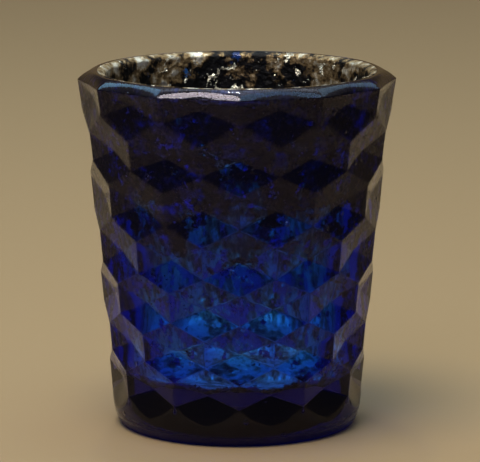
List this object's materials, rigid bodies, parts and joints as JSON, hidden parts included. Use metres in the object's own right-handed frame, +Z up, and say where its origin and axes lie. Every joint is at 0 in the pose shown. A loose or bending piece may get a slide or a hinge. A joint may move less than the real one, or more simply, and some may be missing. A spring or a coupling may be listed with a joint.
{
  "type": "votive candle cup",
  "caption": "Tapered pressed-glass votive cup in deep blue, its wall covered in staggered sunk hexagonal facets, with an antiqued silver lining and a rounded rim.",
  "frame": {"origin": "centre of the flat foot, on the surface that the cup stands on", "axes": "+Z up along the cup's axis of symmetry, out through its mouth; -Y is the front"},
  "size_m": [0.0754, 0.0754, 0.0847],
  "materials": {
    "blue_glass": "fire-polished pressed glass, deep blue, faintly wavy",
    "antique_silver": "aged silvering with worn, browned and missing flakes"
  },
  "bodies": {
    "root": {"glass_cup": "blue_glass", "silver_lining": "antique_silver"}
  },
  "joints": []
}
